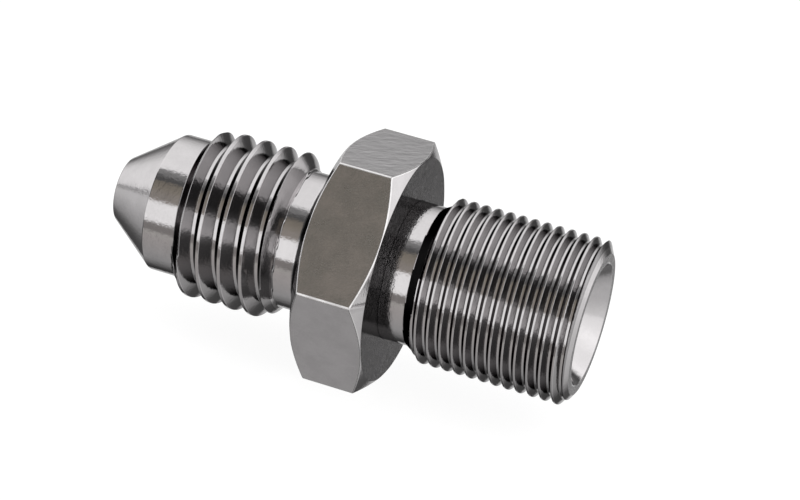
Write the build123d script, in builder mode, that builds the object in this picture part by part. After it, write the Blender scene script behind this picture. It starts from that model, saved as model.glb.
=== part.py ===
from build123d import *
import math
import os

os.makedirs("parts", exist_ok=True)

# Straight adapter fitting, turned from hexagon bar, one piece.
# Frame: millimetres. +X runs along the through bore, from the conical nose to
# the end with the internal cone seat. +Z is the outward normal of a hexagon
# flat, so the fitting lies on the flat that faces -Z. The origin is on the bore
# axis, half way between the two ends.

# ---- driving dimensions ----
total_length = 41.30          # nose tip to end ring
nose_reach = 22.00            # middle of the hexagon to the nose tip
x_hex = nose_reach - total_length / 2   # middle of the hexagon, from the origin

# hexagon
hex_af = 19.00                # across flats
hex_width = 6.14              # between its two faces
hex_face_r = 9.49             # circle where each face chamfer starts
hex_chamfer = 30.0            # degrees, face plane to chamfer cone

# through bore
bore_r = 2.20
bore_break = 0.25             # edge break at the nose

# conical nose, 37 degrees each side of the axis
nose_tip_r = 3.00             # measured at the rounded rim
nose_rim_radius = 0.35
nose_half_angle = 37.0
land_r = 5.87                 # plain land behind the cone

# coarse male thread on the nose side
coarse_crest_r = 7.17
coarse_root_r = 6.07
coarse_pitch = 1.905
coarse_crest_flat = 0.24
coarse_phase = -12.84         # a crest, from the hexagon's middle, over +Z
coarse_start = -15.45         # foot of the start cone, from the hexagon's middle
coarse_start_slope = 1.60
coarse_runout = -5.95         # foot of the run-out cone
coarse_runout_slope = 1.15

# neck between the coarse thread and the hexagon
left_neck_r = 5.83
left_fillet = 1.58

# relief neck and fine male thread on the seat side
right_neck_r = 5.88
fine_crest_r = 6.96
fine_root_r = 6.36
fine_pitch = 1.049
fine_crest_flat = 0.09
fine_phase = 0.05
fine_start = 5.30
fine_start_slope = 1.60
fine_end_r = 5.914            # end ring, outside
fine_end_slope = 1.90         # rise of the end chamfer towards the hexagon

# cone seat in the seat-side end, 60 degrees included
seat_mouth_r = 5.13
seat_half_angle = 30.0

thread_half_angle = 30.0
thread_embed = 0.06           # how far each ridge is sunk into its core
ridge_inset = 0.04            # each ridge ends this far inside its core's cones


def at(s):
    """Station on the axis, measured from the middle of the hexagon."""
    return x_hex + s


x_nose = at(-nose_reach)
x_seat = at(total_length - nose_reach)
hex_half = hex_width / 2

# ---- profile of the turned outside, without thread ridges or hexagon ----
tan_nose = math.tan(math.radians(nose_half_angle))
# the cone is tangent to the rounded rim, then rises to the land
rim = nose_rim_radius
rim_cx = x_nose + rim
rim_cr = nose_tip_r + 0.05 - rim
touch_x = rim_cx - rim * math.sin(math.radians(nose_half_angle))
touch_r = rim_cr + rim * math.cos(math.radians(nose_half_angle))
land_x = touch_x + (land_r - touch_r) / tan_nose

coarse_foot_x = at(coarse_start) + (coarse_root_r - land_r) / coarse_start_slope
coarse_tail_x = at(coarse_runout) - (coarse_root_r - left_neck_r) / coarse_runout_slope
fine_foot_x = at(fine_start) + (fine_root_r - right_neck_r) / fine_start_slope
fine_end_x = x_seat - (fine_root_r - fine_end_r) / fine_end_slope

with BuildPart() as fitting_body:
    # turned core, a profile of radius against station turned about the axis
    with BuildSketch(Plane.XZ) as core_profile:
        with BuildLine():
            nose_face = Line((x_nose, 0), (x_nose, rim_cr))
            nose_edge = ThreePointArc(
                (x_nose, rim_cr),
                (rim_cx - rim * math.cos(math.radians(26.5)),
                 rim_cr + rim * math.sin(math.radians(26.5))),
                (touch_x, touch_r))
            Polyline(
                (touch_x, touch_r),
                (land_x, land_r),
                (at(coarse_start), land_r),
                (coarse_foot_x, coarse_root_r),
                (coarse_tail_x, coarse_root_r),
                (at(coarse_runout), left_neck_r),
                (at(-hex_half) - left_fillet, left_neck_r))
            ThreePointArc(
                (at(-hex_half) - left_fillet, left_neck_r),
                (at(-hex_half) - left_fillet * (1 - math.sin(math.radians(45))),
                 left_neck_r + left_fillet * (1 - math.cos(math.radians(45)))),
                (at(-hex_half), left_neck_r + left_fillet))
            Polyline(
                (at(-hex_half), left_neck_r + left_fillet),
                (at(hex_half), left_neck_r + left_fillet),
                (at(hex_half), right_neck_r),
                (at(fine_start), right_neck_r),
                (fine_foot_x, fine_root_r),
                (fine_end_x, fine_root_r),
                (x_seat, fine_end_r),
                (x_seat, 0),
                (x_nose, 0))
        make_face()
    revolve(axis=Axis.X)

# ---- hexagon with both faces chamfered ----
corner_r = hex_af / 2 / math.cos(math.radians(30)) + 0.5
drop = (corner_r - hex_face_r) * math.tan(math.radians(hex_chamfer))
with BuildPart() as hexagon:
    with BuildSketch(Plane.YZ.offset(at(-hex_half))):
        RegularPolygon(radius=hex_af / 2, side_count=6, major_radius=False)
    extrude(amount=hex_width)
    with BuildSketch(Plane.XZ):
        Polygon(
            (at(-hex_half), 0),
            (at(-hex_half), hex_face_r),
            (at(-hex_half) + drop, corner_r),
            (at(hex_half) - drop, corner_r),
            (at(hex_half), hex_face_r),
            (at(hex_half), 0),
            align=None)
    revolve(axis=Axis.X, mode=Mode.INTERSECT)

# ---- coarse ridge ----
tan_thread = math.tan(math.radians(thread_half_angle))
coarse_depth = coarse_crest_r - coarse_root_r
coarse_turns = 7
with BuildPart() as coarse_ridge:
    with BuildLine() as coarse_path:
        Helix(pitch=coarse_pitch, height=coarse_pitch * coarse_turns,
              radius=coarse_root_r, direction=(1, 0, 0))
    with BuildSketch(Plane(origin=coarse_path.line @ 0, x_dir=(1, 0, 0),
                           z_dir=coarse_path.line % 0)):
        half = coarse_crest_flat / 2
        foot = half + (coarse_depth + thread_embed) * tan_thread
        Polygon((-foot, -thread_embed), (foot, -thread_embed),
                (half, coarse_depth), (-half, coarse_depth), align=None)
    sweep(is_frenet=True)

start = coarse_path.line @ 0
start_angle = math.degrees(math.atan2(-start.Y, start.Z))
wanted = at(coarse_phase) + coarse_pitch * start_angle / 360
first_turn = at(coarse_start) - 0.6 * coarse_pitch
coarse_x = wanted - coarse_pitch * math.ceil((wanted - first_turn) / coarse_pitch)

with BuildPart() as coarse_thread:
    with Locations((coarse_x, 0, 0)):
        add(coarse_ridge.part)
    # cut back to the start cone and the run-out cone
    with BuildSketch(Plane.XZ):
        low = coarse_root_r - thread_embed - 0.2
        high = coarse_crest_r + 0.4
        Polygon(
            (at(coarse_start) + (low - land_r) / coarse_start_slope + ridge_inset, low),
            (at(coarse_start) + (high - land_r) / coarse_start_slope + ridge_inset, high),
            (at(coarse_runout) - (high - left_neck_r) / coarse_runout_slope - ridge_inset, high),
            (at(coarse_runout) - (low - left_neck_r) / coarse_runout_slope - ridge_inset, low),
            align=None)
    revolve(axis=Axis.X, mode=Mode.INTERSECT)

# ---- fine ridge ----
fine_depth = fine_crest_r - fine_root_r
fine_turns = 16
with BuildPart() as fine_ridge:
    with BuildLine() as fine_path:
        Helix(pitch=fine_pitch, height=fine_pitch * fine_turns,
              radius=fine_root_r, direction=(1, 0, 0))
    with BuildSketch(Plane(origin=fine_path.line @ 0, x_dir=(1, 0, 0),
                           z_dir=fine_path.line % 0)):
        half = fine_crest_flat / 2
        foot = half + (fine_depth + thread_embed) * tan_thread
        Polygon((-foot, -thread_embed), (foot, -thread_embed),
                (half, fine_depth), (-half, fine_depth), align=None)
    sweep(is_frenet=True)

start = fine_path.line @ 0
start_angle = math.degrees(math.atan2(-start.Y, start.Z))
wanted = at(fine_phase) + fine_pitch * start_angle / 360
first_turn = at(fine_start) - 0.6 * fine_pitch
fine_x = wanted - fine_pitch * math.ceil((wanted - first_turn) / fine_pitch)

with BuildPart() as fine_thread:
    with Locations((fine_x, 0, 0)):
        add(fine_ridge.part)
    # cut back to the start cone and the end chamfer
    with BuildSketch(Plane.XZ):
        low = fine_root_r - thread_embed - 0.2
        high = fine_crest_r + 0.4
        Polygon(
            (at(fine_start) + (low - right_neck_r) / fine_start_slope + ridge_inset, low),
            (at(fine_start) + (high - right_neck_r) / fine_start_slope + ridge_inset, high),
            (x_seat - (high - fine_end_r) / fine_end_slope - ridge_inset, high),
            (x_seat - (low - fine_end_r) / fine_end_slope - ridge_inset, low),
            align=None)
    revolve(axis=Axis.X, mode=Mode.INTERSECT)

# ---- join, then cut the bore and the seat ----
seat_depth = (seat_mouth_r - bore_r) / math.tan(math.radians(seat_half_angle))
with fitting_body:
    add(hexagon.part)
    add(coarse_thread.part)
    add(fine_thread.part)
    with BuildSketch(Plane.XZ):
        Polygon(
            (x_nose - 1, 0),
            (x_nose - 1, bore_r + bore_break + 1),
            (x_nose + bore_break, bore_r),
            (x_seat - seat_depth, bore_r),
            (x_seat, seat_mouth_r),
            (x_seat + 1, seat_mouth_r + math.tan(math.radians(seat_half_angle))),
            (x_seat + 1, 0),
            align=None)
    revolve(axis=Axis.X, mode=Mode.SUBTRACT)

fitting_body.part.label = "fitting_body"
export_step(fitting_body.part, "parts/fitting_body.step")
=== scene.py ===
import bpy
import math
import numpy as np
from mathutils import Matrix


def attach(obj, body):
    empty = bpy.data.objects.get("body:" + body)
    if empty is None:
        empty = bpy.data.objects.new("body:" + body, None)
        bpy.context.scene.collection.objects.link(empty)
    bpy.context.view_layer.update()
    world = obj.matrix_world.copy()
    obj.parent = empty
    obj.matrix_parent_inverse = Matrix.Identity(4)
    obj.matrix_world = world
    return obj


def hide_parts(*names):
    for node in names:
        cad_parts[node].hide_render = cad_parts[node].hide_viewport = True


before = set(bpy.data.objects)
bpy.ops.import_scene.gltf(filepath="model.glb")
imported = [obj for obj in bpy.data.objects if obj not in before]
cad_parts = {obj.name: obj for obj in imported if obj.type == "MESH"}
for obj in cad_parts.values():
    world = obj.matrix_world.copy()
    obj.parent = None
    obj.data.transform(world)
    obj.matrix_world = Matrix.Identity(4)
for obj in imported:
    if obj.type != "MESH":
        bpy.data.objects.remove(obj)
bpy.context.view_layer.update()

# ---------------------------------------------------------------------------
# Sizes in millimetres. Stations are measured along the bore axis from the
# middle of the hexagon, radii from the axis. X_HEX is the hexagon's middle in
# the shared frame.
# ---------------------------------------------------------------------------
X_HEX = 1.35
NOSE, END = -22.00, 19.30
BORE, BORE_BREAK = 2.20, 0.25
RIM = 0.35
CONE_SLOPE = 0.7411
LAND_R, LAND_S = 5.87, -17.79
AF, HEX_HALF, FACE_R = 19.00, 3.07, 9.49
NECK_L, FILLET_L = 5.83, 1.58
NECK_R, FILLET_R = 5.88, 0.03
END_R, MOUTH_R = 5.914, 5.13
COARSE = dict(crest=7.17, depth=1.17, half_flat=0.13, pitch=1.905, phase=-12.84,
              round_crest=0.035, round_root=0.05, low=-15.50, high=-5.78)
FINE = dict(crest=6.95, depth=0.60, half_flat=0.075, pitch=1.049, phase=0.05,
            round_crest=0.03, round_root=0.04, low=5.20, high=END)
T30 = math.tan(math.radians(30.0))


def smin(a, b, k):
    h = np.maximum(k - np.abs(a - b), 0.0) / k
    return np.minimum(a, b) - h * h * k / 4.0


def smax(a, b, k):
    return -smin(-a, -b, k)


# columns round the axis: even steps, with a close group at each hexagon corner
EVEN = 132
columns = [2 * math.pi * i / EVEN for i in range(EVEN)]
for corner in range(6):
    for step in (-0.65, -0.44, -0.22, 0.22, 0.44, 0.65):
        columns.append(math.radians(30.0 + 60.0 * corner + step))
TH = np.array(sorted(columns))
N = len(TH)
SIN, COS = np.sin(TH), np.cos(TH)


# ---------------------------------------------------------------------------
# Surfaces as radius over station and angle
# ---------------------------------------------------------------------------
def tooth(s, th, t):
    u = s - t["phase"] - t["pitch"] * th / (2 * np.pi)
    u = u - t["pitch"] * np.round(u / t["pitch"])
    flank = t["crest"] + (t["half_flat"] - np.abs(u)) / T30
    r = smin(flank, np.full_like(flank, t["crest"]), t["round_crest"])
    return smax(r, np.full_like(r, t["crest"] - t["depth"]), t["round_root"])


def coarse_surface(s, th):
    """The first ridge is cut down on its nose side, from a foot that follows it."""
    r = tooth(s, th, COARSE)
    turn = np.degrees((th + np.pi) % (2 * np.pi) - np.pi)
    foot = np.interp(turn, [-180, 0, 98, 150, 180], [-15.42, -15.42, -14.95, -15.42, -15.42])
    zero = np.zeros_like(r)
    shoulder = LAND_R + smax(zero, (s - foot) * 1.35, 0.03)
    runout = NECK_L + smax(zero, (-6.13 - s) * 1.18, 0.03)
    r = smin(r, shoulder, 0.03)
    return smin(r, runout, 0.03)


def fine_surface(s, th):
    r = tooth(s, th, FINE)
    gentle = NECK_R + smax(np.zeros_like(r), (s - 5.28) * 0.62, 0.02)
    steep = FINE["crest"] - FINE["depth"] + (s - 6.02) * 1.90
    r = smin(r, smax(gentle, steep, 0.03), 0.03)
    return smin(r, END_R + (FINE["high"] - s) * 1.90, 0.05)


CORNER_R = 0.24


def hexagon_radius(th):
    """Distance to the hexagon's side, with its corners rounded."""
    phi = (th % (math.pi / 3)) - math.pi / 6
    flat = (AF / 2) / np.cos((th + math.pi / 6) % (math.pi / 3) - math.pi / 6)
    centre = (AF / 2 - CORNER_R) / math.cos(math.pi / 6)
    touch = math.atan2(CORNER_R * 0.5, centre + CORNER_R * math.cos(math.pi / 6))
    arc = centre * np.cos(phi) + np.sqrt(
        np.maximum(CORNER_R ** 2 - (centre * np.sin(phi)) ** 2, 0.0))
    return np.where(np.abs(phi) < touch, arc, flat)


HEX_BLEND = 0.15


def hexagon_surface(s, th):
    cone = FACE_R + np.minimum(s + HEX_HALF, HEX_HALF - s) / T30
    return smin(hexagon_radius(th), cone, HEX_BLEND)


# ---------------------------------------------------------------------------
# Patches: rows along the outline, columns round the axis
# ---------------------------------------------------------------------------
class Shell:
    def __init__(self):
        self.points, self.quads, self.normals, self.mats = [], [], [], []
        self.count = 0

    def add(self, s, r, normal, mat, shift=0):
        rows = s.shape[0]
        xyz = np.stack([s + X_HEX, -r * SIN, r * COS], -1)
        index = self.count + np.arange(rows * N).reshape(rows, N)
        self.points.append(xyz.reshape(-1, 3))
        self.count += rows * N
        a, b = index[:-1, :-1], index[:-1, 1:]
        c, d = index[1:, 1:], index[1:, :-1]
        self._quads(a, b, c, d, mat)
        keep = rows - 1 - shift
        a, d = index[:keep, -1], index[1:keep + 1, -1]
        b, c = index[shift:shift + keep, 0], index[shift + 1:shift + keep + 1, 0]
        self._quads(a, b, c, d, mat)
        self.normals.append(normal.reshape(-1, 3))

    def _quads(self, a, b, c, d, mat):
        q = np.stack([a.ravel(), b.ravel(), c.ravel(), d.ravel()], -1)
        self.quads.append(q)
        self.mats.append(np.full(len(q), mat))

    def radius_patch(self, s, surface, mat, shift=0):
        th = np.broadcast_to(TH, s.shape)
        r = surface(s, th)
        e = 1e-4
        slope_s = (surface(s + e, th) - surface(s - e, th)) / (2 * e)
        slope_t = (surface(s, th + e) - surface(s, th - e)) / (2 * e) / r
        normal = np.stack([-slope_s, -SIN + slope_t * COS, COS + slope_t * SIN], -1)
        normal /= np.linalg.norm(normal, axis=-1)[..., None]
        self.add(s, r, normal, mat, shift)
        return r

    def turned(self, outline, mat):
        """outline: rows of station, radius, normal along x, normal along r."""
        o = np.array(outline, float)
        o[:, 2:] /= np.linalg.norm(o[:, 2:], axis=1)[:, None]
        s = np.repeat(o[:, :1], N, 1)
        r = np.repeat(o[:, 1:2], N, 1)
        normal = np.stack([np.repeat(o[:, 2:3], N, 1),
                           -o[:, 3:] * SIN, o[:, 3:] * COS], -1)
        self.add(s, r, normal, mat)


def straight(p, q, rows):
    """A straight run of the outline from p to q, with its outward normal."""
    ds, dr = q[0] - p[0], q[1] - p[1]
    return [(p[0] + ds * t, p[1] + dr * t, -dr, ds) for t in np.linspace(0, 1, rows)]


def arc(centre, radius, start, stop, rows, sign=1.0):
    """Part of a circle in the outline; angles from +x toward +r, in degrees."""
    out = []
    for t in np.linspace(math.radians(start), math.radians(stop), rows):
        out.append((centre[0] + radius * math.cos(t), centre[1] + radius * math.sin(t),
                    sign * math.cos(t), sign * math.sin(t)))
    return out


def rounded(corner, before, after, size, rows=4):
    """A small rounding at a corner, between unit directions before and after."""
    b = np.array(before, float) / np.linalg.norm(before)
    a = np.array(after, float) / np.linalg.norm(after)
    p0, p1, c = np.array(corner) - b * size, np.array(corner) + a * size, np.array(corner)
    out = []
    for t in np.linspace(0, 1, rows):
        p = (1 - t) ** 2 * p0 + 2 * t * (1 - t) * c + t * t * p1
        d = (1 - t) * b + t * a
        out.append((p[0], p[1], -d[1], d[0]))
    return out


(TURNED, FACED, FLAT_TOP, FLAT_FRONT, FLAT_LOW, SEAT, THREAD, THREAD_FINE, FILLET, ARRIS,
 SHADE, STEEP, STEEP_FINE) = range(13)
shell = Shell()

# nose: edge break, face, rounded rim, cone, land
cone_angle = math.degrees(math.atan(CONE_SLOPE))
rim_s = NOSE + RIM
rim_r = LAND_R - (LAND_S - rim_s) * CONE_SLOPE - RIM / math.cos(math.radians(cone_angle))
touch = (rim_s - RIM * math.sin(math.radians(cone_angle)),
         rim_r + RIM * math.cos(math.radians(cone_angle)))
shell.turned(straight((NOSE + BORE_BREAK, BORE), (NOSE, BORE + BORE_BREAK), 3), FACED)
shell.turned(straight((NOSE, BORE + BORE_BREAK), (NOSE, rim_r), 3), FACED)
shell.turned(arc((rim_s, rim_r), RIM, 180.0, 90.0 + cone_angle, 9), TURNED)
edge = rounded((LAND_S, LAND_R), (1.0, CONE_SLOPE), (1.0, 0.0), 0.05, 5)
shell.turned(straight(touch, edge[0][:2], 22), TURNED)
shell.turned(edge, TURNED)
shell.turned(straight(edge[-1][:2], (COARSE["low"], LAND_R), 6), TURNED)


def helical(t, offsets, mat, surface):
    """Rows that follow the thread, cut back to the patch's two ends."""
    n = len(offsets)
    low, high, p = t["low"], t["high"], t["pitch"]
    first = math.floor((low - 1.35 * p - t["phase"]) / p)
    last = math.ceil((high + 0.35 * p - t["phase"]) / p)
    rows = np.concatenate([t["phase"] + k * p + offsets for k in range(first, last + 1)])
    s = np.clip(rows[:, None] + p * TH[None, :] / (2 * math.pi), low, high)
    shell.radius_patch(s, surface, mat, shift=n)


def spread(half, pitch):
    half = np.array(half)
    return np.concatenate([[0.0], half, [pitch / 2], pitch - half[::-1]])


helical(COARSE, spread([0.11, 0.13, 0.15, 0.26, 0.37, 0.48, 0.59, 0.70, 0.777, 0.805, 0.834],
                       COARSE["pitch"]), THREAD, coarse_surface)

# neck, hollow fillet up to the hexagon
shell.turned(straight((COARSE["high"], NECK_L), (-HEX_HALF - FILLET_L, NECK_L), 4), TURNED)
shell.turned([(c, r, n0, n1) for c, r, n0, n1 in
              arc((-HEX_HALF - FILLET_L, NECK_L + FILLET_L), FILLET_L, 270.0, 360.0, 17, -1.0)],
             FILLET)

# hexagon: left face, edge, chamfers and flats, edge, right face
EDGE = 0.03
left_rim = hexagon_surface(np.full(N, -HEX_HALF + EDGE * 0.6), TH)
face_r = hexagon_surface(np.full(N, -HEX_HALF), TH) - EDGE


def face(station, inner, outer, normal_x, rows, mat):
    t = np.linspace(0, 1, rows)[:, None]
    r = inner + (outer - inner) * t
    nrm = np.zeros(r.shape + (3,))
    nrm[..., 0] = normal_x
    shell.add(np.full(r.shape, station), r, nrm, mat)


face(-HEX_HALF, np.full(N, NECK_L + FILLET_L), face_r, -1.0, 5, FACED)


def edge_strip(s0, r0, n0, s1, r1, n1, mat):
    s = np.stack([np.full(N, s0), np.full(N, s1)])
    shell.add(s, np.stack([r0, r1]), np.stack([n0, n1]), mat)


def hexagon_normal(s):
    e = 1e-4
    r = hexagon_surface(s, TH)
    slope_s = (hexagon_surface(s + e, TH) - hexagon_surface(s - e, TH)) / (2 * e)
    slope_t = (hexagon_surface(s, TH + e) - hexagon_surface(s, TH - e)) / (2 * e) / r
    n = np.stack([-slope_s, -SIN + slope_t * COS, COS + slope_t * SIN], -1)
    return n / np.linalg.norm(n, axis=-1)[:, None]


plane_n = np.zeros((N, 3)); plane_n[:, 0] = 1.0
start_s = -HEX_HALF + EDGE * 0.6
edge_strip(-HEX_HALF, face_r, -plane_n, start_s, left_rim,
           hexagon_normal(np.full(N, start_s)), FACED)
# rows of the hexagon's side follow the curved edge between chamfer and flat
boundary = -HEX_HALF + (hexagon_radius(TH) - FACE_R) * T30
reach = HEX_BLEND * T30
rows = []
for t in (0.0, 0.34, 0.68):
    rows.append(start_s + (np.maximum(boundary - reach, start_s) - start_s) * t)
for t in (-1.0, -0.5, 0.0, 0.5, 1.0):
    rows.append(np.maximum(boundary + reach * t, start_s))
inside = np.maximum(boundary + reach, start_s)
for t in (0.25, 0.5, 0.75):
    rows.append(inside * (1 - t))
half_rows = np.stack(rows)
side = np.concatenate([half_rows, np.zeros((1, N)), -half_rows[::-1]])
side_from = shell.count
shell.radius_patch(side, hexagon_surface, FLAT_TOP)
side_to = shell.count
# the corner between the front and lower flats is worn flatter, facing nearer the front
worn = shell.normals[-1].reshape(side.shape + (3,))
for offset, faces_to in ((-0.65, 60.0), (-0.44, 75.0), (-0.22, 78.0), (0.0, 81.0), (0.22, 85.0),
                         (0.44, 92.0), (0.65, 120.0)):
    j = int(np.argmin(np.abs(np.degrees(TH) - 90.0 - offset)))
    across_n = np.hypot(worn[:, j, 1], worn[:, j, 2])
    worn[:, j, 1] = -across_n * math.sin(math.radians(faces_to))
    worn[:, j, 2] = across_n * math.cos(math.radians(faces_to))
shell.normals[-1] = worn.reshape(-1, 3)
edge_strip(-start_s, left_rim, hexagon_normal(np.full(N, -start_s)), HEX_HALF, face_r,
           plane_n, FACED)
face(HEX_HALF, face_r, np.full(N, NECK_R + FILLET_R), 1.0, 6, FACED)

# right neck, fine thread, end ring, seat, bore
# painted shade: the small fillet at the right neck gets the near-black metal
shell.turned(arc((HEX_HALF + FILLET_R, NECK_R + FILLET_R), FILLET_R, 180.0, 270.0, 5, -1.0), SHADE)
shell.turned(straight((HEX_HALF + FILLET_R, NECK_R), (FINE["low"], NECK_R), 5), TURNED)
helical(FINE, spread([0.058, 0.075, 0.092, 0.18, 0.26, 0.34, 0.40, 0.421, 0.444], FINE["pitch"]),
        THREAD_FINE, fine_surface)
shell.turned(straight((END, END_R), (END, MOUTH_R + 0.05), 3), FACED)
mouth = rounded((END, MOUTH_R), (0.0, -1.0), (-1.0, -T30), 0.05, 4)
shell.turned(mouth, SEAT)
seat_s = END - (MOUTH_R - BORE) / T30
bottom = rounded((seat_s, BORE), (-1.0, -T30), (-1.0, 0.0), 0.06, 4)
shell.turned(straight(mouth[-1][:2], bottom[0][:2], 20), SEAT)
shell.turned(bottom, SEAT)
shell.turned(straight(bottom[-1][:2], (NOSE + BORE_BREAK, BORE), 30), TURNED)

# ---------------------------------------------------------------------------
# Weld the patches into one closed mesh, keeping each patch's own normals
# ---------------------------------------------------------------------------
points = np.concatenate(shell.points)
normals = np.concatenate(shell.normals)
quads = np.concatenate(shell.quads)
mats = np.concatenate(shell.mats)

# flats by the way they face
middle = points[quads].mean(1)
centre_th = np.arctan2(-middle[:, 1], middle[:, 2])
on_side = ((quads >= side_from) & (quads < side_to)).all(1)
number = np.round(centre_th / (math.pi / 3)).astype(int) % 6
kinds = np.array([FLAT_TOP, FLAT_FRONT, FLAT_LOW, FLAT_TOP, FLAT_FRONT, FLAT_LOW])
tilt = normals[quads].mean(1)[:, 0]
flat_n = np.abs(tilt)
from_corner = np.abs((np.degrees(centre_th) + 60.0) % 60.0 - 30.0)
mats = np.where(on_side, np.where(flat_n > 0.80, FACED, kinds[number]), mats)
# painted highlight: the arrises between flats, chamfers and corners get near-white metal
mats = np.where(on_side & (flat_n > 0.04) & (flat_n <= 0.80), ARRIS, mats)
mats = np.where(on_side & (flat_n <= 0.80) & (from_corner < 0.60), ARRIS, mats)
# painted shade: the start cone of the fine thread gets the near-black metal
start_cone = (mats == THREAD_FINE) & (middle[:, 0] - X_HEX < 6.2) & (tilt < -0.25) & (
    np.hypot(middle[:, 1], middle[:, 2]) < FINE["crest"] - FINE["depth"] + 0.02)
mats = np.where(start_cone, SHADE, mats)
# painted shade: thread flanks facing the nose side get darker metal
mats = np.where((mats == THREAD) & (tilt < -0.3), STEEP, mats)
mats = np.where((mats == THREAD_FINE) & (tilt < -0.3), STEEP_FINE, mats)

key = np.round(points * 2e4).astype(np.int64)
_, first_of, same = np.unique(key, axis=0, return_index=True, return_inverse=True)
same = same.ravel()
corners = same[quads]
verts = points[first_of]
faces, face_mats, loop_normals = [], [], []
for k in range(len(corners)):
    seen, ids = [], []
    for j in range(4):
        v = corners[k, j]
        if v not in seen:
            seen.append(v)
            ids.append(quads[k, j])
    if len(seen) < 3:
        continue
    faces.append([int(v) for v in seen])
    face_mats.append(int(mats[k]))
    loop_normals.extend(normals[i] for i in ids)

mesh = bpy.data.meshes.new("fitting_body_skin")
mesh.from_pydata((verts / 1000.0).tolist(), [], faces)
mesh.polygons.foreach_set("material_index", np.array(face_mats, np.int32))
mesh.polygons.foreach_set("use_smooth", np.ones(len(faces), bool))
skin = bpy.data.objects.new("fitting_body_skin", mesh)
bpy.context.scene.collection.objects.link(skin)


# ---------------------------------------------------------------------------
# Node helpers
# ---------------------------------------------------------------------------
class Nodes:
    def __init__(self, tree):
        self.tree = tree
        tree.nodes.clear()

    def new(self, kind, **props):
        n = self.tree.nodes.new(kind)
        for k, v in props.items():
            setattr(n, k, v)
        return n

    def link(self, a, b):
        self.tree.links.new(a, b)

    def put(self, socket, value):
        if isinstance(value, (int, float)):
            socket.default_value = value
        else:
            self.link(value, socket)

    def math(self, op, a, b=None, c=None):
        n = self.new("ShaderNodeMath", operation=op)
        for i, v in enumerate((a, b, c)):
            if v is not None:
                self.put(n.inputs[i], v)
        return n.outputs[0]

    def step(self, value, low, high, to_low=0.0, to_high=1.0, smooth=True):
        n = self.new("ShaderNodeMapRange",
                     interpolation_type="SMOOTHSTEP" if smooth else "LINEAR")
        self.put(n.inputs["Value"], value)
        for name, v in (("From Min", low), ("From Max", high),
                        ("To Min", to_low), ("To Max", to_high)):
            n.inputs[name].default_value = v
        return n.outputs[0]

    def ramp(self, value, stops, low, high):
        """Colour over a value, from a list of (value, colour) in its units."""
        position = self.step(value, low, high, smooth=False)
        n = self.new("ShaderNodeValToRGB")
        n.color_ramp.interpolation = "LINEAR"
        elements = n.color_ramp.elements
        while len(elements) < len(stops):
            elements.new(0.5)
        for e, (v, c) in zip(elements, stops):
            e.position = (v - low) / (high - low)
        for e, (v, c) in zip(elements, stops):
            c = (c, c, c) if isinstance(c, (int, float)) else c
            e.color = (c[0], c[1], c[2], 1.0)
        self.link(position, n.inputs[0])
        return n.outputs[0]

    def mix(self, factor, a, b):
        n = self.new("ShaderNodeMix", data_type="RGBA")
        self.put(n.inputs[0], factor)
        for socket, v in ((n.inputs[6], a), (n.inputs[7], b)):
            if isinstance(v, (int, float)):
                socket.default_value = (v, v, v, 1.0)
            elif isinstance(v, tuple):
                socket.default_value = (v[0], v[1], v[2], 1.0)
            else:
                self.link(v, socket)
        return n.outputs[2]

    def noise(self, vector, scale, detail=2.0, rough=0.5, distort=0.0):
        n = self.new("ShaderNodeTexNoise")
        n.inputs["Scale"].default_value = scale
        n.inputs["Detail"].default_value = detail
        n.inputs["Roughness"].default_value = rough
        n.inputs["Distortion"].default_value = distort
        self.link(vector, n.inputs["Vector"])
        return n.outputs[0]

    def stretch(self, vector, scale, offset=(0.0, 0.0, 0.0), turn=(0.0, 0.0, 0.0)):
        n = self.new("ShaderNodeMapping")
        n.inputs["Scale"].default_value = scale
        n.inputs["Location"].default_value = offset
        n.inputs["Rotation"].default_value = turn
        self.link(vector, n.inputs["Vector"])
        return n.outputs[0]


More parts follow.
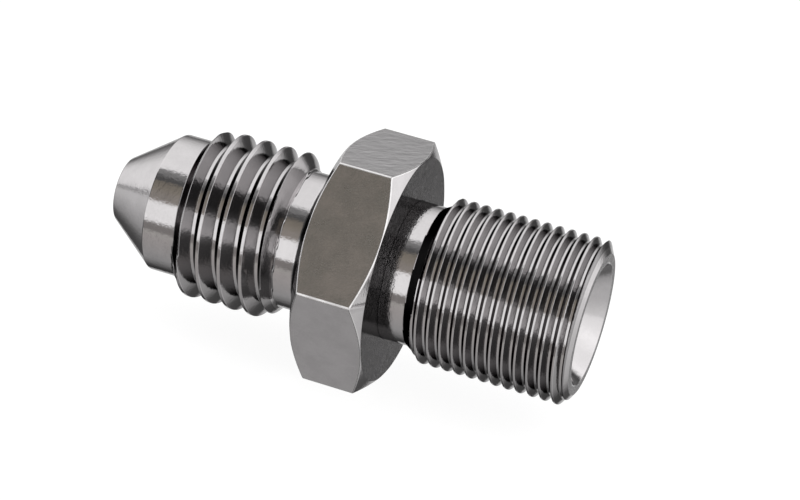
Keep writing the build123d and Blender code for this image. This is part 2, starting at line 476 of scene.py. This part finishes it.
# ---------------------------------------------------------------------------
# Metal. Coordinates are the object's own, in millimetres.
# ---------------------------------------------------------------------------
def metal(name, rough, layers, tint=(0.730, 0.708, 0.714), tint_low=None, cells=None, painted_shade_ramp=None,
          edge=None, specks=None):
    m = bpy.data.materials.new(name)
    m.use_nodes = True
    g = Nodes(m.node_tree)
    out = g.new("ShaderNodeOutputMaterial")
    shader = g.new("ShaderNodeBsdfPrincipled")
    g.link(shader.outputs[0], out.inputs[0])
    shader.inputs["Metallic"].default_value = 1.0
    if edge is not None:            # reflectance near grazing
        shader.inputs["Specular Tint"].default_value = (edge, edge, edge, 1.0)
    coord = g.new("ShaderNodeTexCoord").outputs["Object"]
    mm = g.stretch(coord, (1000.0, 1000.0, 1000.0))
    # slight variation of tone over the surface
    low = tint_low or tuple(c * 0.93 for c in tint)
    cloud = g.noise(mm, 0.55, 3.0, 0.55)
    fine = g.noise(mm, 6.0, 2.0, 0.6)
    tone = g.math("ADD", g.math("MULTIPLY", cloud, 0.7), g.math("MULTIPLY", fine, 0.3))
    colour = g.mix(g.step(tone, 0.35, 0.65), low, tint)
    if specks:                      # tiny bright pits and scratches
        spot = g.step(g.noise(mm, specks[0], 2.0, 0.6), specks[1], specks[1] + 0.05)
        line = g.noise(g.stretch(mm, (1.0, 1.0, 1.0), turn=(0.3, 0.5, 0.9)), 1.3, 4.0, 0.6, 1.2)
        line = g.step(g.math("ABSOLUTE", g.math("SUBTRACT", line, 0.5)), 0.0, 0.006, 1.0, 0.0)
        line = g.math("MULTIPLY", line, g.step(g.noise(mm, 0.8, 1.0, 0.5), 0.55, 0.62))
        mark = g.math("MAXIMUM", spot, line)
        colour = g.mix(g.math("MULTIPLY", mark, specks[2]), colour, (1.0, 1.0, 1.0))
    if painted_shade_ramp:                       # painted shade: darker metal colour between these radii or stations, for the thread flanks and the fillet hollow
        part = g.new("ShaderNodeSeparateXYZ")
        g.link(mm, part.inputs[0])
        x, y, z = part.outputs
        radius = g.math("SQRT", g.math("ADD", g.math("MULTIPLY", y, y), g.math("MULTIPLY", z, z)))
        blotch = g.math("MULTIPLY", g.math("SUBTRACT", g.noise(mm, 5.0, 3.0, 0.6), 0.5), painted_shade_ramp[1])
        place = x if painted_shade_ramp[2:] == ("x",) else radius
        dark = g.ramp(g.math("ADD", place, blotch), painted_shade_ramp[0], painted_shade_ramp[0][0][0], painted_shade_ramp[0][-1][0])
        mult = g.new("ShaderNodeMix", data_type="RGBA", blend_type="MULTIPLY")
        mult.inputs[0].default_value = 1.0
        g.link(colour, mult.inputs[6])
        g.link(dark, mult.inputs[7])
        colour = mult.outputs[2]
    g.link(colour, shader.inputs["Base Color"])
    g.link(g.step(tone, 0.3, 0.7, rough * 1.25, rough * 0.8), shader.inputs["Roughness"])
    height = None
    for kind, size, detail, amount, extra in layers:
        if kind == "even":
            h = g.noise(mm, size, detail, 0.55)
        elif kind == "turned":      # lines that run round the axis
            h = g.noise(g.stretch(mm, (size, 0.10, 0.10)), 1.0, detail, 0.55)
        elif kind == "along":       # lines that run along the bar
            h = g.noise(g.stretch(mm, (extra, size, size)), 1.0, detail, 0.55)
        elif kind == "rippled":     # long low ripples at a slant across a flat
            slant = g.stretch(mm, (1.0, 1.0, 1.0), turn=(0, 0, math.radians(-45.0)))
            h = g.noise(g.stretch(slant, (extra, size, 1.0)), 1.0, detail, 0.5)
        elif kind == "faced":       # brushed lines across a face
            h = g.noise(g.stretch(mm, (0.1, size, extra), turn=(math.radians(20.0), 0, 0)),
                        1.0, detail, 0.6)
        h = g.math("MULTIPLY", h, amount)
        height = h if height is None else g.math("ADD", height, h)
    if cells:                       # shallow dimples of a rolled surface
        v = g.new("ShaderNodeTexVoronoi", feature="SMOOTH_F1")
        v.inputs["Scale"].default_value = cells[0]
        v.inputs["Smoothness"].default_value = 1.0
        warp = g.new("ShaderNodeVectorMath", operation="ADD")
        n = g.new("ShaderNodeTexNoise")
        n.inputs["Scale"].default_value = cells[0] * 0.9
        g.link(mm, n.inputs["Vector"])
        g.link(mm, warp.inputs[0])
        g.link(n.outputs[1], warp.inputs[1])
        g.link(warp.outputs[0], v.inputs["Vector"])
        h = g.math("MULTIPLY", v.outputs["Distance"], cells[1])
        height = h if height is None else g.math("ADD", height, h)
    bump = g.new("ShaderNodeBump")
    bump.inputs["Strength"].default_value = 1.0
    bump.inputs["Distance"].default_value = 1e-6      # heights are in micrometres
    g.link(height, bump.inputs["Height"])
    g.link(bump.outputs[0], shader.inputs["Normal"])
    return m


materials = {
    TURNED: metal("steel_turned", 0.09, [("turned", 9.0, 3.0, 2.0, 0), ("even", 3.2, 3.0, 11.0, 0),
                                         ("even", 9.0, 2.0, 1.6, 0)], edge=0.45),
    FACED: metal("steel_faced", 0.11, [("faced", 14.0, 3.0, 4.5, 0.8), ("even", 3.0, 3.0, 9.0, 0)],
                 edge=0.45),
    FLAT_TOP: metal("steel_flat_rolled", 0.16, [("rippled", 1.9, 3.0, 52.0, 1.0),
                                                ("even", 5.0, 3.0, 6.0, 0)],
                    tint=(0.545, 0.530, 0.534)),
    FLAT_FRONT: metal("steel_flat_speckled", 0.22, [("even", 9.0, 5.0, 12.0, 0),
                                                  ("along", 14.0, 3.0, 2.5, 0.5)],
                      tint_low=(0.63, 0.615, 0.60), specks=(11.0, 0.66, 0.45)),
    FLAT_LOW: metal("steel_flat_smooth", 0.17, [("even", 5.0, 4.0, 4.0, 0),
                                               ("along", 12.0, 3.0, 2.0, 0.5)]),
    SEAT: metal("steel_seat", 0.10, [("turned", 12.0, 3.0, 2.0, 0), ("even", 2.5, 3.0, 8.0, 0)]),
    # painted shade: the coarse thread's flanks, between root and crest, get darker metal than the root
    # and crest lines
    THREAD: metal("steel_thread_coarse", 0.09, [("even", 3.4, 3.0, 10.0, 0), ("even", 8.0, 2.0, 2.6, 0)],
                  painted_shade_ramp=([(5.60, 1.0), (5.86, 1.0), (6.03, 1.0), (6.06, 0.60), (7.08, 0.68),
                          (7.14, 1.0), (7.40, 1.0)], 0.02), edge=0.5),
    # painted shade: darker metal with no reflectance near grazing, for the thread flanks facing the nose
    # side
    STEEP: metal("steel_thread_coarse_painted_shade", 0.09, [("even", 3.4, 3.0, 10.0, 0)],
                 tint=(0.50, 0.485, 0.49), edge=0.0),
    STEEP_FINE: metal("steel_thread_fine_painted_shade", 0.09, [("even", 3.4, 3.0, 10.0, 0)],
                      tint=(0.50, 0.485, 0.49), edge=0.0),
    # painted shade: the fine thread's flanks, between root and crest, get darker metal than the root and
    # crest lines
    THREAD_FINE: metal("steel_thread_fine", 0.09, [("even", 3.4, 3.0, 10.0, 0),
                                                   ("even", 8.0, 2.0, 2.6, 0)],
                       painted_shade_ramp=([(5.60, 1.0), (6.00, 1.0), (6.375, 1.0), (6.40, 0.60), (6.88, 0.68),
                               (6.92, 1.0), (7.20, 1.0)], 0.015), edge=0.5),
    # painted shade: a near-black band of metal colour in the fillet hollow beside the hexagon
    FILLET: metal("steel_fillet", 0.12, [("turned", 9.0, 3.0, 2.0, 0), ("even", 3.0, 3.0, 9.0, 0)],
                  painted_shade_ramp=([(-3.40, 1.0), (-3.13, 1.0), (-3.05, 0.05), (-2.50, 0.05), (-2.20, 0.8),
                          (-1.60, 0.9)], 0.12, "x")),
    # painted highlight: near-white, rougher metal so the arrises show as bright lines
    ARRIS: metal("steel_arris_painted_highlight", 0.30, [("even", 6.0, 2.0, 1.0, 0)], tint=(0.97, 0.95, 0.95)),
    # painted shade: near-black metal for the fine thread's start cone and the right neck fillet
    SHADE: metal("steel_black_painted_shade", 0.20, [("even", 6.0, 3.0, 6.0, 0)], tint=(0.012, 0.012, 0.012),
                 edge=0.0),
}
for i in range(13):
    mesh.materials.append(materials[i])
mesh.normals_split_custom_set([tuple(n) for n in loop_normals])
mesh.update()

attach(skin, "root")
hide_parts("fitting_body")

# ---------------------------------------------------------------------------
# Studio. The light comes from long soft panels that run beside the fitting's
# axis, described as brightness over direction: across is the angle from +X,
# around is the angle about X from straight up toward the front.
# ---------------------------------------------------------------------------
world = bpy.data.worlds.new("studio")
bpy.context.scene.world = world
world.use_nodes = True
w = Nodes(world.node_tree)
direction = w.new("ShaderNodeTexCoord").outputs["Generated"]
unit = w.new("ShaderNodeVectorMath", operation="NORMALIZE")
w.link(direction, unit.inputs[0])
split = w.new("ShaderNodeSeparateXYZ")
w.link(unit.outputs[0], split.inputs[0])
dx, dy, dz = split.outputs
deg = 180.0 / math.pi
across = w.math("MULTIPLY", w.math("ARCCOSINE", dx), deg)
around = w.math("MULTIPLY", w.math("ARCTAN2", w.math("MULTIPLY", dy, -1.0), dz), deg)
height_deg = w.math("MULTIPLY", w.math("ARCSINE", dz), deg)
azimuth = w.math("MULTIPLY", w.math("ARCTAN2", dy, dx), deg)

side_on = w.ramp(around, [
    (-180, 0.35), (-176, 0.32), (-168, 0.26), (-160, 0.18), (-152, 0.08), (-138, 0.08),
    (-84, 0.27), (-79, 0.30), (-72, 0.49), (-67, 0.63), (-60, 0.76), (-52, 0.86), (-42, 0.95),
    (16, 0.98), (19, 0.27), (28, 0.21), (31.5, 0.12), (34, 0.09), (38, 0.10),
    (41, (0.21, 0.19, 0.16)), (52, (0.26, 0.235, 0.20)), (62, (0.30, 0.275, 0.25)),
    (71, (0.30, 0.275, 0.25)), (74, 1.0), (106, 1.0), (109, (0.236, 0.222, 0.215)),
    (122, (0.236, 0.222, 0.215)), (125, (0.43, 0.42, 0.40)), (135, (0.41, 0.39, 0.38)),
    (180, 0.35)], -180.0, 180.0)
front_left = w.ramp(around, [
    (-180, 0.16), (-150, 0.10), (-110, 0.20), (-85, 0.30), (-70, 0.50), (-50, 0.85), (-30, 1.10),
    (15, 1.05), (18.5, 0.40), (24, 0.05), (56, 0.05), (68, 0.14), (71, 0.35),
    (75, 0.90), (90, 1.05), (106, 1.30), (110, 0.30), (122, 0.14), (145, 0.10), (180, 0.10)],
    -180.0, 180.0)
between = w.ramp(around, [
    (-180, 0.12), (-150, 0.15), (-95, 0.14), (-75, 0.12), (-60, 0.03), (-45, 0.008), (-42, 0.06),
    (16, 0.06), (20, 0.008), (72, 0.008), (75, 0.06), (106, 0.06), (110, 0.008), (180, 0.03)],
    -180.0, 180.0)
behind_left = w.ramp(height_deg, [
    (-90, 0.30), (-38, 0.08), (-32, 0.24), (-26, 0.40), (-17, 0.53), (-8, 0.67), (-2, 0.68),
    (-0.5, 0.28), (1.0, 0.28), (2.5, 0.95), (12, 1.02), (60, 1.0), (90, 1.0)], -90.0, 90.0)
right = w.ramp(height_deg, [
    (-90, 0.34), (-66, 0.38), (-57, 0.49), (-45, 0.55), (-30, 0.58), (-19, 0.66), (-9, 0.74),
    (-1.5, 0.80), (1.0, 1.0), (12, 1.08), (32, 1.22), (48, 1.12), (65, 1.0), (90, 0.97)],
    -90.0, 90.0)
# zones by the angle from +X
colour = w.mix(w.step(across, 110.5, 116.0), side_on, front_left)
colour = w.mix(w.step(across, 139.0, 148.0), colour, 0.02)
behind = w.math("MULTIPLY", w.step(dy, -0.02, 0.06), w.step(across, 128.0, 150.0))
behind = w.math("MAXIMUM", behind, w.step(across, 150.0, 158.0))
colour = w.mix(behind, colour, behind_left)
gap = w.math("SUBTRACT", 1.0, w.step(across, 90.0, 96.0))
colour = w.mix(gap, colour, between)
right_amount = w.math("SUBTRACT", 1.0, w.step(across, 64.0, 73.0))
# the dark surround of the backdrop, and the backdrop itself
back_dir = (-0.2565, 0.8944, -0.3665)
dot = w.math("ADD", w.math("ADD", w.math("MULTIPLY", dx, back_dir[0]),
                           w.math("MULTIPLY", dy, back_dir[1])),
             w.math("MULTIPLY", dz, back_dir[2]))
away = w.math("MULTIPLY", w.math("ARCCOSINE", w.math("MINIMUM", w.math("MAXIMUM", dot, -1.0), 1.0)), deg)
surround = w.step(away, 36.0, 60.0, 0.13, 1.0)
dark = w.mix(surround, 0.0, right)
colour = w.mix(right_amount, colour, dark)
colour = w.mix(w.step(away, 23.5, 26.0, 1.0, 0.0), colour, 1.0)
background = w.new("ShaderNodeBackground")
w.link(colour, background.inputs[0])
background.inputs[1].default_value = 1.0
world_out = w.new("ShaderNodeOutputWorld")
w.link(background.outputs[0], world_out.inputs[0])


def shown_to(obj, camera=True, glossy=True, diffuse=True, shadow=True):
    obj.visible_camera = camera
    obj.visible_glossy = glossy
    obj.visible_diffuse = diffuse
    obj.visible_transmission = False
    obj.visible_volume_scatter = False
    obj.visible_shadow = shadow


# pale floor under the lower flat
floor_mesh = bpy.data.meshes.new("floor")
size, level = 1.6, -AF / 2000.0
floor_mesh.from_pydata([(-size, -size, level), (size, -size, level), (size, size, level),
                        (-size, size, level)], [], [(0, 1, 2, 3)])
floor = bpy.data.objects.new("floor", floor_mesh)
bpy.context.scene.collection.objects.link(floor)
pale = bpy.data.materials.new("pale_floor")
pale.use_nodes = True
g = Nodes(pale.node_tree)
out = g.new("ShaderNodeOutputMaterial")
diffuse = g.new("ShaderNodeBsdfDiffuse")
diffuse.inputs["Color"].default_value = (0.20, 0.20, 0.20, 1.0)
glow = g.new("ShaderNodeEmission")
glow.inputs["Color"].default_value = (1.0, 1.0, 1.0, 1.0)
glow.inputs["Strength"].default_value = 0.92
both = g.new("ShaderNodeAddShader")
g.link(diffuse.outputs[0], both.inputs[0])
g.link(glow.outputs[0], both.inputs[1])
g.link(both.outputs[0], out.inputs[0])
floor_mesh.materials.append(pale)
shown_to(floor, glossy=False, diffuse=False)

# plain white backdrop all round, seen by the camera only
back_mesh = bpy.data.meshes.new("backdrop")
rings, around_n = 24, 48
ball = []
for i in range(rings + 1):
    a = math.pi * i / rings
    for j in range(around_n):
        b = 2 * math.pi * j / around_n
        ball.append((1.55 * math.sin(a) * math.cos(b), 1.55 * math.sin(a) * math.sin(b),
                     1.55 * math.cos(a)))
back_mesh.from_pydata(ball, [], [(i * around_n + j, i * around_n + (j + 1) % around_n,
                                  (i + 1) * around_n + (j + 1) % around_n,
                                  (i + 1) * around_n + j)
                                 for i in range(rings) for j in range(around_n)])
backdrop = bpy.data.objects.new("backdrop", back_mesh)
bpy.context.scene.collection.objects.link(backdrop)
white = bpy.data.materials.new("backdrop_white")
white.use_nodes = True
g = Nodes(white.node_tree)
out = g.new("ShaderNodeOutputMaterial")
glow = g.new("ShaderNodeEmission")
glow.inputs["Color"].default_value = (1.0, 1.0, 1.0, 1.0)
glow.inputs["Strength"].default_value = 1.0
g.link(glow.outputs[0], out.inputs[0])
back_mesh.materials.append(white)
shown_to(backdrop, glossy=False, diffuse=False, shadow=False)

# a broad soft light overhead for the floor
lamp_data = bpy.data.lights.new("overhead", "SUN")
lamp_data.energy = 0.55
lamp_data.angle = math.radians(80.0)
lamp = bpy.data.objects.new("overhead", lamp_data)
bpy.context.scene.collection.objects.link(lamp)
lamp.rotation_euler = (math.radians(12.0), math.radians(-8.0), 0.0)
lamp.visible_glossy = False

# ---------------------------------------------------------------------------
# Camera, at the photograph's place
# ---------------------------------------------------------------------------
camera_data = bpy.data.cameras.new("camera")
camera_data.lens = 110.854
camera_data.sensor_width = 36.0
camera_data.sensor_fit = "HORIZONTAL"
camera_data.clip_start = 0.01
camera_data.clip_end = 10.0
camera = bpy.data.objects.new("camera", camera_data)
bpy.context.scene.collection.objects.link(camera)
a = np.array([0.9311613472619908, -0.26973530623962005, 0.2453189962743457])
e1 = np.array([0.26083507171456455, 0.9629345068943258, 0.06871827119361773])
e2 = np.array([-0.25476187063391575, 0.0, 0.9670038207117425])
psi = math.radians(17.831140796956717)
up = math.cos(psi) * e1 + math.sin(psi) * e2
turn = np.stack([a, np.cross(up, a), up])
place = (0.05319569, -0.18111898, 0.07437814)
camera.matrix_world = Matrix([[*turn[0], place[0]], [*turn[1], place[1]],
                              [*turn[2], place[2]], [0, 0, 0, 1]])
bpy.context.scene.camera = camera

view = bpy.context.scene.view_settings
view.view_transform = "Standard"
view.look = "None"
view.exposure = 0.0
view.gamma = 1.0

bpy.context.view_layer.update()
